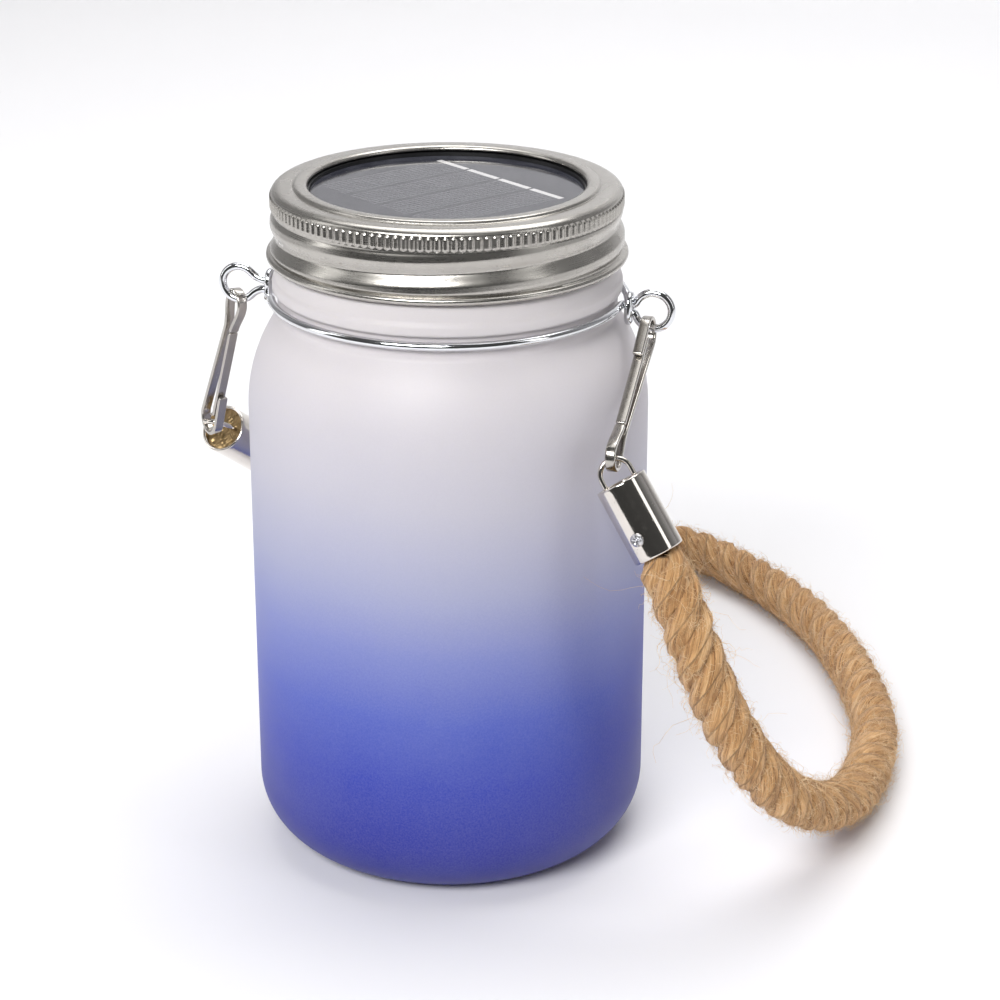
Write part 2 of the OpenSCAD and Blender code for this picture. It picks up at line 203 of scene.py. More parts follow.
# ---------------------------------------------------------------- material helpers
def material(name):
    m = bpy.data.materials.new(name)
    m.use_nodes = True
    nt = m.node_tree
    return m, nt, nt.nodes["Principled BSDF"]


def link(nt, a, b):
    nt.links.new(a, b)


def ramp(nt, fac, stops):
    n = nt.nodes.new("ShaderNodeValToRGB")
    while len(n.color_ramp.elements) < len(stops):
        n.color_ramp.elements.new(0.5)
    for e, (p, c) in zip(n.color_ramp.elements, stops):
        e.position = p
        e.color = (*c, 1)
    link(nt, fac, n.inputs[0])
    return n.outputs[0]


def coords(nt, kind="Object"):
    return nt.nodes.new("ShaderNodeTexCoord").outputs[kind]


def mapped(nt, vec, scale, rot=(0, 0, 0)):
    n = nt.nodes.new("ShaderNodeMapping")
    n.inputs["Scale"].default_value = scale
    n.inputs["Rotation"].default_value = rot
    link(nt, vec, n.inputs["Vector"])
    return n.outputs[0]


def noise(nt, vec, scale, detail=3.0, rough=0.5, dist=0.0):
    n = nt.nodes.new("ShaderNodeTexNoise")
    n.inputs["Scale"].default_value = scale
    n.inputs["Detail"].default_value = detail
    n.inputs["Roughness"].default_value = rough
    n.inputs["Distortion"].default_value = dist
    link(nt, vec, n.inputs["Vector"])
    return n.outputs[0]


def math_(nt, op, a, b=None):
    n = nt.nodes.new("ShaderNodeMath")
    n.operation = op
    for i, x in enumerate((a, b)):
        if x is None:
            continue
        if isinstance(x, (int, float)):
            n.inputs[i].default_value = x
        else:
            link(nt, x, n.inputs[i])
    return n.outputs[0]


def remap(nt, v, a, b, c, d):
    n = nt.nodes.new("ShaderNodeMapRange")
    for i, x in enumerate((a, b, c, d)):
        n.inputs[i + 1].default_value = x
    link(nt, v, n.inputs[0])
    return n.outputs[0]


def mix(nt, fac, a, b):
    n = nt.nodes.new("ShaderNodeMix")
    n.data_type = "RGBA"
    for i, x in ((0, fac), (6, a), (7, b)):
        if isinstance(x, (int, float)):
            n.inputs[i].default_value = x
        elif isinstance(x, tuple):
            n.inputs[i].default_value = (*x, 1)
        else:
            link(nt, x, n.inputs[i])
    return n.outputs[2]


def bump(nt, bsdf, height, dist, strength=1.0):
    n = nt.nodes.new("ShaderNodeBump")
    n.inputs["Distance"].default_value = dist
    n.inputs["Strength"].default_value = strength
    link(nt, height, n.inputs["Height"])
    link(nt, n.outputs[0], bsdf.inputs["Normal"])


def srgb(r, g, b):
    """Linear colour from an 8-bit display colour."""
    return tuple(c / 255 / 12.92 if c <= 10.3 else ((c / 255 + 0.055) / 1.055) ** 2.4 for c in (r, g, b))


def metal(name, color, rough, fine=0.0, specks=0.0):
    m, nt, b = material(name)
    b.inputs["Metallic"].default_value = 1.0
    co = coords(nt)
    n1 = noise(nt, co, 900, 4, 0.6)
    n2 = noise(nt, co, 160, 3, 0.5)
    c = mix(nt, remap(nt, n2, 0.3, 0.7, 0, 0.3), color, tuple(x * 0.8 for x in color))
    r = math_(nt, "ADD", remap(nt, n1, 0.3, 0.7, -fine, fine), rough)
    h = n2
    if specks:
        v = nt.nodes.new("ShaderNodeTexVoronoi")
        v.inputs["Scale"].default_value = 1400
        link(nt, co, v.inputs["Vector"])
        pit = remap(nt, v.outputs["Distance"], 0.05, 0.2, 1, 0)
        gate_ = remap(nt, noise(nt, co, 420, 2), 0.56, 0.66, 0, 1)
        pit = math_(nt, "MULTIPLY", pit, gate_)
        c = mix(nt, math_(nt, "MULTIPLY", pit, specks), c, tuple(x * 0.3 for x in color))
        r = math_(nt, "ADD", r, math_(nt, "MULTIPLY", pit, 0.3))
        h = math_(nt, "SUBTRACT", h, pit)
    link(nt, c, b.inputs["Base Color"])
    link(nt, r, b.inputs["Roughness"])
    bump(nt, b, h, 0.00002, 0.5)
    return m


def plastic(name, color, rough, grain=700.0, depth=0.00003):
    m, nt, b = material(name)
    co = coords(nt)
    n1 = noise(nt, co, grain, 4, 0.6)
    n2 = noise(nt, co, 60, 3)
    c = mix(nt, remap(nt, n2, 0.3, 0.7, 0, 0.35), color, tuple(x * 0.75 for x in color))
    link(nt, c, b.inputs["Base Color"])
    link(nt, math_(nt, "ADD", remap(nt, n1, 0.3, 0.7, -0.06, 0.08), rough), b.inputs["Roughness"])
    b.inputs["Specular IOR Level"].default_value = 0.5
    bump(nt, b, n1, depth, 0.6)
    return m


# ---------------------------------------------------------------- materials
def glass_material():
    m, nt, b = material("frosted_glass")
    co = coords(nt)
    sep = nt.nodes.new("ShaderNodeSeparateXYZ")
    link(nt, co, sep.inputs[0])
    drift = remap(nt, noise(nt, mapped(nt, co, (14, 14, 6)), 1.0, 2), 0.3, 0.7, -0.012, 0.012)
    z = math_(nt, "ADD", remap(nt, sep.outputs[2], 0.0, 0.145, 0, 1), drift)
    col = ramp(nt, z, [
        (0.00, srgb(8, 14, 120)), (0.10, srgb(14, 28, 142)), (0.20, srgb(32, 52, 164)),
        (0.30, srgb(68, 86, 180)), (0.40, srgb(118, 128, 190)), (0.50, srgb(162, 165, 195)),
        (0.62, srgb(192, 190, 202)), (0.78, srgb(213, 208, 211)), (0.92, srgb(212, 207, 207)),
        (1.0, srgb(212, 207, 207)),
    ])
    speck = noise(nt, co, 2600, 3, 0.7)
    cloud = noise(nt, co, 38, 4, 0.6)
    col = mix(nt, remap(nt, speck, 0.35, 0.7, 0.0, 0.05), col, (0.92, 0.92, 0.95))
    col = mix(nt, remap(nt, cloud, 0.35, 0.7, 0.0, 0.06), col, (0.35, 0.36, 0.45))
    link(nt, col, b.inputs["Base Color"])
    link(nt, remap(nt, speck, 0.3, 0.7, 0.42, 0.55), b.inputs["Roughness"])
    b.inputs["IOR"].default_value = 1.5
    b.inputs["Subsurface Weight"].default_value = 0.25
    b.inputs["Subsurface Radius"].default_value = (0.004, 0.004, 0.005)
    bump(nt, b, speck, 0.00003, 0.35)
    return m


def band_material():
    m, nt, b = material("band_satin_steel")
    b.inputs["Metallic"].default_value = 1.0
    co = coords(nt)
    rings = noise(nt, mapped(nt, co, (30, 30, 7000)), 1.0, 2, 0.5)
    wear = noise(nt, co, 120, 4, 0.6)
    dirt = noise(nt, co, 700, 3, 0.7)
    c = mix(nt, remap(nt, wear, 0.35, 0.7, 0, 0.35), (0.50, 0.48, 0.445), (0.38, 0.365, 0.34))
    c = mix(nt, remap(nt, dirt, 0.62, 0.75, 0, 0.5), c, (0.25, 0.22, 0.19))
    link(nt, c, b.inputs["Base Color"])
    brushed = remap(nt, rings, 0.3, 0.7, 0.24, 0.29)
    r = math_(nt, "ADD", brushed, remap(nt, wear, 0.3, 0.7, -0.03, 0.05))
    link(nt, r, b.inputs["Roughness"])
    b.inputs["Anisotropic"].default_value = 0.3
    bump(nt, b, rings, 0.000006, 0.4)
    return m


def panel_material():
    """Four cells in series: a dashed busbar, fine fingers on one side of it, dark joints between the cells."""
    m, nt, b = material("solar_panel")
    co = coords(nt)
    sep = nt.nodes.new("ShaderNodeSeparateXYZ")
    link(nt, mapped(nt, co, (1000, 1000, 1000), (0, 0, math.radians(38))), sep.inputs[0])
    along, across = sep.outputs[0], sep.outputs[1]
    cell, bus, start = 10.2, 13.7, -18.0
    mottle = remap(nt, noise(nt, co, 260, 3), 0.35, 0.65, 0, 1)
    base = mix(nt, mottle, (0.030, 0.031, 0.042), (0.052, 0.053, 0.066))
    cell_at = math_(nt, "FRACT", math_(nt, "MULTIPLY", math_(nt, "ADD", along, 4 * cell), 1 / cell))
    from_middle = math_(nt, "ABSOLUTE", math_(nt, "SUBTRACT", cell_at, 0.5))
    off_joint = math_(nt, "LESS_THAN", from_middle, 0.465)
    inside = math_(nt, "LESS_THAN", math_(nt, "ABSOLUTE", along), 2 * cell)
    before_bus = math_(nt, "LESS_THAN", across, bus)
    left_of = math_(nt, "MULTIPLY", before_bus, math_(nt, "GREATER_THAN", across, start))
    line = math_(nt, "LESS_THAN", math_(nt, "FRACT", math_(nt, "MULTIPLY", along, 9 / cell)), 0.28)
    on_cell = math_(nt, "MULTIPLY", off_joint, inside)
    fingers = math_(nt, "MULTIPLY", math_(nt, "MULTIPLY", line, left_of), on_cell)
    col = mix(nt, math_(nt, "MULTIPLY", fingers, 0.55), base, (0.20, 0.20, 0.215))
    at_joint = math_(nt, "SUBTRACT", 1.0, off_joint)
    joint = math_(nt, "MULTIPLY", at_joint, math_(nt, "MULTIPLY", left_of, inside))
    col = mix(nt, math_(nt, "MULTIPLY", joint, 0.35), col, (0.012, 0.012, 0.016))
    on = math_(nt, "LESS_THAN", math_(nt, "ABSOLUTE", math_(nt, "SUBTRACT", across, bus)), 0.7)
    busbar = math_(nt, "MULTIPLY", on, on_cell)
    col = mix(nt, busbar, col, (0.62, 0.61, 0.61))
    link(nt, col, b.inputs["Base Color"])
    link(nt, remap(nt, noise(nt, co, 900, 3), 0.3, 0.7, 0.05, 0.09), b.inputs["Roughness"])
    b.inputs["IOR"].default_value = 1.5
    bump(nt, b, noise(nt, co, 45, 2), 0.0004, 0.12)
    return m


def jute_material(name, fuzz=False):
    m, nt, b = material(name)
    uv = coords(nt, "UV")
    co = coords(nt)
    if fuzz:
        tone = noise(nt, co, 300, 2)
        c = ramp(nt, tone, [(0.3, (0.62, 0.37, 0.16)), (0.7, (0.95, 0.76, 0.50))])
        link(nt, c, b.inputs["Base Color"])
        link(nt, remap(nt, tone, 0.3, 0.7, 0.5, 0.7), b.inputs["Roughness"])
        b.inputs["Specular IOR Level"].default_value = 0.3
        return m
    # u runs round the strand and v along its fibres, both in metres
    fibre = noise(nt, mapped(nt, uv, (3400, 230, 1)), 1.0, 5, 0.65, 0.7)
    bundle = noise(nt, mapped(nt, uv, (1000, 80, 1)), 1.0, 3, 0.6, 0.6)
    blotch = noise(nt, co, 140, 4, 0.6)
    both = math_(nt, "ADD", math_(nt, "MULTIPLY", fibre, 0.62), math_(nt, "MULTIPLY", bundle, 0.38))
    # colour follows the same relief as the bump: the fibres' own light and dark tone, plus painted shade that
    # darkens the low gaps between the fibres
    c = ramp(nt, both, [
        (0.36, (0.17, 0.070, 0.022)), (0.45, (0.47, 0.245, 0.095)),
        (0.54, (0.74, 0.440, 0.200)), (0.66, (0.94, 0.67, 0.38)),
    ])
    # painted shade: where crown is low, in the creases between the strands, the colour is pulled towards a
    # dark brown
    painted_crease_shade = nt.nodes.new("ShaderNodeAttribute")
    painted_crease_shade.attribute_name = "crown"
    c = mix(nt, remap(nt, painted_crease_shade.outputs["Fac"], 0.50, 0.92, 0.85, 0.0), c, (0.12, 0.050, 0.018))
    c = mix(nt, remap(nt, blotch, 0.40, 0.72, 0.0, 0.40), c, (0.38, 0.19, 0.07))
    link(nt, c, b.inputs["Base Color"])
    b.inputs["Roughness"].default_value = 0.8
    b.inputs["Specular IOR Level"].default_value = 0.25
    b.inputs["Sheen Weight"].default_value = 0.2
    b.inputs["Sheen Roughness"].default_value = 0.5
    bump(nt, b, both, 0.0007, 1.0)
    return m


MAT = {
    "glass": glass_material(),
    "band": band_material(),
    "panel": panel_material(),
    "black": plastic("black_moulding", (0.012, 0.012, 0.013), 0.4),
    "board": plastic("board_green", (0.02, 0.16, 0.06), 0.35, 500),
    "wrap": plastic("cell_wrap", (0.03, 0.22, 0.12), 0.25, 300),
    "spring": metal("contact_brass", (0.75, 0.58, 0.3), 0.3, 0.05),
    "led": plastic("led_resin", (0.85, 0.86, 0.82), 0.1, 200, 0.00001),
    "cover": plastic("cover_clear", (0.62, 0.64, 0.68), 0.35, 500),
    "zinc": metal("zinc_plate", (0.7, 0.7, 0.72), 0.3, 0.06),
    "gasket": plastic("gasket_soft", (0.6, 0.6, 0.58), 0.6, 400),
    "lead": plastic("lead_red", (0.5, 0.03, 0.02), 0.35, 300),
    "wire": metal("wire_chrome", (0.80, 0.81, 0.83), 0.10, 0.03),
    "clip": metal("clip_nickel", (0.50, 0.475, 0.44), 0.20, 0.06, specks=0.5),
    "cap": metal("cap_nickel", (0.74, 0.70, 0.65), 0.10, 0.03, specks=0.8),
    "cast": metal("cap_rough_cast", (0.34, 0.24, 0.12), 0.38, 0.15, specks=0.9),
    "jute": jute_material("jute_strand"),
    "fuzz": jute_material("jute_fibre", True),
}
for name, key in {
    "insert_housing": "black", "solar_panel": "panel", "circuit_board": "board", "rechargeable_cell": "wrap",
    "battery_contacts": "spring", "leds": "led", "bottom_cover": "cover", "cover_screws": "zinc",
    "lid_gasket": "gasket", "lead_wires": "lead", "switch_slider": "black",
}.items():
    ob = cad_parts[name]
    ob = bpy.data.objects[ob] if isinstance(ob, str) else ob
    ob.data.materials.clear()
    ob.data.materials.append(MAT[key])

# ---------------------------------------------------------------- rope
ROUTE = [
    [50.6, -31.9, 80.8], [58.5, -34, 62], [65.5, -32.5, 45], [74, -24.5, 28.5], [81, -9.5, 16.5],
    [86.5, 8.5, 9.5], [89.5, 28, 6.5], [89.5, 48, 5.5], [86, 67.5, 5.5], [80, 86.5, 5.5],
    [72, 105, 5.5], [61.5, 122.5, 5.5], [49, 137.5, 5.5], [33, 149.5, 6.5], [14, 155, 7.5],
    [-6, 152.5, 8.5], [-23, 142.5, 11.5], [-35, 127.5, 16], [-42, 110, 22.5], [-44.5, 92, 30.5],
    [-44.5, 75, 40.5], [-43.8, 58, 51.5], [-45.2, 41, 63.5], [-49.4, 24.1, 74.5],
]
RIGHT_E, RIGHT_D = np.array([39.4, -28.1, 98.3]), unit([0.53, -0.18, -0.83])
LEFT_E, LEFT_D = np.array([-55.5, 7.9, 86.5]), unit([0.29, 0.77, -0.57])
ROPE_D = 10.7
LAY = 21.0
FIBRE_LAY = 27.0
STRAND_OFF, STRAND_R = 2.62, 2.72
CAP_SQUEEZE = 0.80
STRAND_SIDES, LUMPS = 44, 26
FIBRES, QUICK_FIBRES, STRAYS = 24000, 3000, 36


def make_rope():
    line = spline(ROUTE, 0.6, ends=(RIGHT_D, -LEFT_D))
    T, U, W = frames(line, ends=(RIGHT_D, -LEFT_D))
    s = np.concatenate([[0], np.cumsum(np.linalg.norm(np.diff(line, axis=0), axis=1))])
    length = s[-1]
    ends = np.minimum(1, np.minimum(s, length - s) / 5.0)
    squeeze = CAP_SQUEEZE + (1 - CAP_SQUEEZE) * ends * ends * (3 - 2 * ends)
    parts, uvs, crowns = [], [], []
    sides = STRAND_SIDES
    for k in range(3):
        ang = 2 * math.pi * (s / LAY + k / 3)
        off = STRAND_OFF * squeeze * (1 + 0.03 * np.sin(s * 0.19 + k * 2.1))
        c = line + off[:, None] * (np.cos(ang)[:, None] * U + np.sin(ang)[:, None] * W)
        Ts = np.gradient(c, axis=0)
        Ts /= np.linalg.norm(Ts, axis=1)[:, None]
        R = c - line
        R -= (R * Ts).sum(1)[:, None] * Ts
        R /= np.linalg.norm(R, axis=1)[:, None]
        B = np.cross(Ts, R)
        a = np.linspace(0, 2 * math.pi, sides, endpoint=False)
        A, S = np.meshgrid(a, s)
        twist = A + 2 * math.pi * S / FIBRE_LAY
        r = STRAND_R * squeeze[:, None] + 0.07 * np.cos(13 * twist + 0.9 * np.sin(S * 0.35 + k))
        r = r + 0.05 * np.cos(21 * twist - 0.4 * np.sin(S * 0.8))
        lump = np.zeros_like(r)
        for _ in range(LUMPS):
            fa, fs, ph = rng.integers(1, 9), rng.normal(0, 1.1), rng.uniform(0, 6.28)
            lump += np.cos(fa * A + fs * S + ph) * 0.028
        r = r + lump
        wide = 1 + 0.10 * np.abs(np.sin(A)) ** 2
        section = np.cos(A)[..., None] * R[:, None] + (wide * np.sin(A))[..., None] * B[:, None]
        V = c[:, None] + r[..., None] * section
        crowns.append((np.linalg.norm(V - line[:, None], axis=-1) / (ROPE_D / 2 * squeeze[:, None])).ravel())
        F = [list(f) for f in grid_faces(sides, len(s))]
        F.append(list(range(sides))[::-1])
        F.append([(len(s) - 1) * sides + i for i in range(sides)])
        uv = np.stack([(A / (2 * math.pi) + S / FIBRE_LAY) * 0.018, S * MM], -1)
        parts.append((V.reshape(-1, 3), F))
        uvs.append(uv.reshape(-1, 2))
    V, F = join(parts)
    V[:, 2] = np.maximum(V[:, 2], 0.05)
    rope_ = add_mesh("rope_strands", V, F, "handle", MAT["jute"], ["rope"], uv=np.vstack(uvs))
    # how far out of the rope each point is, for the painted shade in the creases between the strands
    crown = rope_.data.attributes.new("crown", "FLOAT", "POINT")
    crown.data.foreach_set("value", np.concatenate(crowns).astype(np.float32))
    return rope_, line, (T, U, W), s


def unit_rows(v):
    return v / np.maximum(np.linalg.norm(v, axis=-1, keepdims=True), 1e-9)


def make_fuzz(line, fr, s, count, strays):
    """Loose fibres: short curled ones all over the rope, and a few long strays by the right cap."""
    T, U, W = fr
    n, m = count + strays, 8
    stray = np.arange(n) >= count
    i = rng.integers(5, len(s) - 6, n)
    i[stray] = np.where(rng.random(strays) < 0.7, rng.integers(3, 60, strays), i[stray])
    a = rng.uniform(0, 2 * math.pi, n)
    out = np.cos(a)[:, None] * U[i] + np.sin(a)[:, None] * W[i]
    side = np.cross(T[i], out)
    p = line[i] + out * (ROPE_D / 2 - rng.uniform(0.0, 1.2, n))[:, None]
    size = np.where(stray, rng.uniform(8, 18, n), rng.gamma(2.6, 1.1, n))
    lift = np.where(stray, rng.uniform(0.4, 1.0, n), np.abs(rng.normal(0.16, 0.26, n)))
    turn = rng.normal(0, 1.0, n)
    way = rng.choice([-1.0, 1.0], n)
    d = unit_rows((np.cos(turn) * way)[:, None] * T[i] + np.sin(turn)[:, None] * side + lift[:, None] * out)
    bend = unit_rows(rng.normal(0, 1, (n, 3))) * rng.uniform(0.1, 0.55, n)[:, None]
    bend = bend - np.where(stray, 0, 0.12)[:, None] * out
    wave = rng.normal(0, 0.42, (m, n, 3))
    pts = [p]
    for k in range(m - 1):
        d = unit_rows(d + bend * (size / (m - 1))[:, None] * 0.5 + wave[k])
        p = p + d * (size / (m - 1))[:, None]
        pts.append(p)
    P = np.stack(pts, 1)
    # a short fibre that would stand far off the rope is drawn back to it
    root, way_on = line[i][:, None], T[i][:, None]
    q = root + ((P - root) * way_on).sum(-1, keepdims=True) * way_on
    far = np.linalg.norm(P - q, axis=-1, keepdims=True)
    limit = np.where(stray, 30.0, rng.uniform(5.6, 7.6, n))[:, None, None]
    P = np.where(far > limit, q + (P - q) * limit / np.maximum(far, 1e-6), P)
    P[..., 2] = np.maximum(P[..., 2], 0.1)
    rad = rng.uniform(0.030, 0.058, n)[:, None] * np.linspace(1, 0.45, m)[None]
    t_ = unit_rows(np.gradient(P, axis=1))
    u_ = unit_rows(np.cross(t_, out[:, None] + 0.013))
    w_ = np.cross(t_, u_)
    corners = (0, 2 * math.pi / 3, 4 * math.pi / 3)
    ring = [P + rad[..., None] * (math.cos(c) * u_ + math.sin(c) * w_) for c in corners]
    V = np.stack(ring, 2).reshape(-1, 3)
    k, c = np.meshgrid(np.arange(m - 1), np.arange(3), indexing="ij")
    k, c = k.ravel(), c.ravel()
    c2 = (c + 1) % 3
    quad = np.stack([k * 3 + c, k * 3 + c2, (k + 1) * 3 + c2, (k + 1) * 3 + c], -1)
    F = (quad[None] + (np.arange(n) * 3 * m)[:, None, None]).reshape(-1, 4)
    return add_mesh("rope_fibres", V, F, "handle", MAT["fuzz"])


rope, rope_line, rope_fr, rope_s = make_rope()
fibres = make_fuzz(rope_line, rope_fr, rope_s, FIBRES, STRAYS)


# ---------------------------------------------------------------- jar
SCREW_PITCH = 6.35


def make_jar():
    body_r, sh_r, sh_z, cr = 42.0, 33.7, 98.4, 14.5
    sx = body_r - sh_r
    ga = math.degrees(math.acos((35.3 - sx) / sh_r))
    ma = math.degrees(math.acos((30 - sx) / (sh_r - 3)))
    out = np.vstack([
        [[0.0, 1.6], [12, 1.6], [22, 1.55], [24, 1.45], [25.5, 0.9], [26.6, 0.25], [27.6, 0.03]],
        arc(body_r - cr, cr, cr, -85, 0, 30), [[42, 30], [42, 50], [42, 70], [42, 90]],
        arc(sx, sh_z, sh_r, 0, ga, 44),
        [[35.28, 119.3], [35.28, 123.0], [35.35, 123.4], [35.6, 123.62], [35.95, 123.75], [36.2, 124.0]],
        [[36.3, 124.4], [36.3, 125.5], [36.22, 125.9], [36.0, 126.25], [35.8, 126.5], [35.7, 126.9]],
        [[35.7, 129.0], [35.6, 129.6], [35.2, 130.2], [34.6, 130.9], [34.25, 131.5]],
        [[34.2, z] for z in np.linspace(131.9, 141.6, 40)],
        arc(33.0, 141.9, 1.2, 8, 90, 8), arc(31.2, 141.9, 1.2, 90, 180, 8),
        arc(sx, sh_z, sh_r - 3, ma, 0, 36),
        [[39, 80], [39, 50], [39, 20]],
        arc(body_r - cr, cr + 0.6, cr - 3, 0, -90, 20), [[12, 4.4], [0.0, 5.2]],
    ])
    V, F = revolve(out, 240)
    # raise the screw thread: a ridge that climbs 6.35 mm a turn
    r = np.hypot(V[:, 0], V[:, 1])
    th = np.degrees(np.arctan2(V[:, 1], V[:, 0])) + 90
    zone = (r > 33.5) & (V[:, 2] > 131.8) & (V[:, 2] < 141.7)
    add = np.zeros(len(V))
    for turn in (-1, 0, 1):
        zc = 133.35 + SCREW_PITCH * (th + 360 * turn) / 360
        fade = np.clip((zc - 132.3) / 0.8, 0, 1) * np.clip((141.0 - zc) / 0.8, 0, 1)
        add = np.maximum(add, fade * np.exp(-(((V[:, 2] - zc) / 0.85) ** 2)))
    k = np.where(zone, 1 + 0.85 * add / np.maximum(r, 1), 1)
    V[:, 0] *= k
    V[:, 1] *= k
    return crease(add_mesh("jar_glass", V, F, "jar", MAT["glass"], ["glass_jar"]), 50)


make_jar()


# ---------------------------------------------------------------- screw band
def make_band():
    """Rolled sheet band: bead, helical thread groove, row of pressed ridges, lip and raised top ring."""
    bars, per = 138, 10
    n = bars * per
    prof = [tuple(p) for p in arc(36.6, 131.25, 0.75, 150, 430, 16)]
    prof += [(np.interp(z, [132.1, 132.6, 134.8, 138.0, 140.9], [36.4, 36.55, 36.55, 36.4, 36.1]), z)
             for z in np.linspace(132.1, 140.9, 50)]
    k0 = len(prof)
    prof += [(36.1, z) for z in np.linspace(141.0, 144.0, 19)]
    k1 = len(prof)
    # the lip, the flat top and the raised ring round the window
    prof += [(36.02, 144.2), (35.85, 144.5), (35.6, 144.78), (35.2, 145.06), (34.75, 145.26), (34.2, 145.35)]
    prof += [(33.4, 145.36), (32.4, 145.35), (31.75, 145.34), (31.6, 145.30), (31.5, 145.42), (31.38, 145.72)]
    prof += [(31.1, 145.9), (30.75, 145.96), (30.0, 145.96), (29.35, 145.94), (28.95, 145.82), (28.68, 145.55)]
    # the window's edge and back along the inside
    prof += [(28.52, 145.2), (28.6, 144.98), (28.9, 144.9), (31, 144.9), (34.1, 144.9), (34.8, 144.75)]
    prof += [(35.3, 144.4), (35.5, 143.8), (35.5, 140.7), (35.55, 139.7), (35.6, 138.3), (35.6, 137)]
    prof += [(35.65, 135.9), (35.7, 135.1), (35.8, 134.4), (35.9, 133.3), (35.9, 131.9)]
    p = np.array(prof, float)
    a = np.linspace(0, 2 * math.pi, n, endpoint=False)
    Rr = np.repeat(p[:, :1], n, 1)
    Z = np.repeat(p[:, 1:], n, 1)
    th = (np.degrees(a) + 90 + 180) % 360 - 180

    def dip(z):
        """Depth of the groove: it climbs 6.35 mm a turn, opens gently upwards and flares out below."""
        total = np.zeros_like(z)
        for turn in (-1, 0, 1):
            dz = z - (136.35 + SCREW_PITCH * (th[None] - 12.5 + 360 * turn) / 360)
            soft = np.sqrt(dz * dz + 0.03) - 0.17
            t = np.clip(soft / np.where(dz > 0, 2.7, 2.3), 0, 1)
            total = np.maximum(total, 1.1 * (1 - t) ** 1.6 * (1 + 0.4 * t))
        return total * np.clip((z - 131.9) / 0.8, 0, 1) * np.clip((141.0 - z) / 0.8, 0, 1)

    outer = slice(16, k0)
    Rr[outer] -= dip(Z[outer])
    inner = slice(len(p) - 9, len(p) - 1)
    Rr[inner] -= 0.85 * dip(Z[inner])
    # each ridge is a rounded bar with domed ends
    kz = slice(k0, k1)
    u = ((np.arange(n) % per) / per - 0.5) * 2 * math.pi * 36.2 / bars
    v = Z[kz] - np.clip(Z[kz], 141.65, 143.38)
    d2 = (u[None] ** 2 + v**2) / 0.56**2
    Rr[kz] += 0.34 * np.sqrt(np.clip(1 - d2, 0, 1)) - 0.08
    V = np.stack([Rr * np.cos(a), Rr * np.sin(a), Z], -1).reshape(-1, 3)
    F = grid_faces(n, len(p), True, True)
    return crease(add_mesh("band_screwed", V, F, "band", MAT["band"], ["screw_band"]), 70)


make_band()


# ---------------------------------------------------------------- neck wires
LEG_Z, LEG_H, HANG_R, WIRE = 121.17, 0.93, 36.6, 1.7


def neck_path(centre, r, fl):
    ring_z, eye_y, eye_z = LEG_Z + LEG_H, 1.85, 2.75 - 1.85
    ex = math.sqrt((HANG_R + 1.8) ** 2 - 1.8**2)
    ea = math.degrees(math.asin(1.8 / (HANG_R + 1.8)))
    uh, dh = ring_z + fl - centre[1], centre[1] - LEG_Z + LEG_H + fl
    ux = centre[0] - math.sqrt((r + fl) ** 2 - uh**2)
    dx = centre[0] - math.sqrt((r + fl) ** 2 - dh**2)
    ua, da = math.degrees(math.asin(uh / (r + fl))), math.degrees(math.asin(dh / (r + fl)))
    P = [(-38.3, y, LEG_Z + z) for y, z in arc(0, -eye_z, eye_y, -62, 0, 6)]
    P += [(-38.3, y, LEG_Z + z) for y, z in arc(0, eye_z, eye_y, 0, 180, 14)]
    P += [(-38.3, -eye_y, LEG_Z - eye_z * 0.6)]
    P += [(-38.2, -2.3, 119.3), (-37.7, -3.9, 119.0), (-37.1, -6.2, 119.6), (-36.1, -9.3, 121.2)]
    P += [(x, y, ring_z) for x, y in arc(0, 0, HANG_R, 200, 360 - ea, 60)]
    P += [(x, y, ring_z) for x, y in arc(ex, -1.8, 1.8, 168 - ea, 90, 8)]
    P += [(x, 0, z) for x, z in arc(ux, ring_z + fl, fl, -90, -ua, 6)]
    P += [(x, 0, z) for x, z in arc(centre[0], centre[1], r, 174 - ua, da - 174, 40)]
    P += [(x, 0, z) for x, z in arc(dx, LEG_Z - LEG_H - fl, fl, da, 90, 6)]
    P += [(37.9, 0, LEG_Z - LEG_H)]
    return np.array(P)


def rounded_ends(path, d, sides=24):
    """A wire whose cut ends have a small round-over."""
    L = np.concatenate([[0], np.cumsum(np.linalg.norm(np.diff(path, axis=0), axis=1))])
    r = np.full(len(path), d / 2)
    e = 0.22
    for i, s_ in enumerate(L):
        q = min(s_, L[-1] - s_)
        if q < e:
            r[i] = d / 2 - e + math.sqrt(max(0, e * e - (e - q) ** 2))
    return sweep(path, r, sides)


for nm, nd, centre, r, fl, flip in (
    ("neck_wire_front", "front_neck_wire", (43.2, 120.95), 3.8, 0.9, 1),
    ("neck_wire_rear", "rear_neck_wire", (45.2, 121.17), 3.6, 4.8, -1),
):
    P = spline(neck_path(centre, r, fl), 0.3)
    P[:, :2] *= flip
    V, F = rounded_ends(P, WIRE)
    crease(add_mesh(nm, V, F, "hanger", MAT["wire"], [nd]), 50)


# ---------------------------------------------------------------- snap clips
CLIP_L, STRIP_W, STRIP_T = 36.4, 2.1, 0.9


def rot_z(a):
    c, s_ = math.cos(a), math.sin(a)
    return np.array([[c, -s_, 0], [s_, c, 0], [0, 0, 1]])


def aim(v, turn):
    """Turns +Z to v, as the CAD part does, after a turn about it."""
    v = unit(v)
    th, ph = math.acos(v[2]), math.atan2(v[1], v[0])
    ry = np.array([[math.cos(th), 0, math.sin(th)], [0, 1, 0], [-math.sin(th), 0, math.cos(th)]])
    return rot_z(ph) @ ry @ rot_z(math.radians(turn))


def half_at(s_, wide_r=3.35, narrow_r=2.75, wide_s=2.9, narrow_s=34.0, waist_s=27.0, waist=1.25):
    if s_ < waist_s:
        return wide_r + (waist - wide_r) * (s_ - wide_s) / (waist_s - wide_s)
    t = (s_ - waist_s) / (narrow_s - waist_s)
    return waist + (narrow_r - waist) * t * t * (3 - 2 * t)


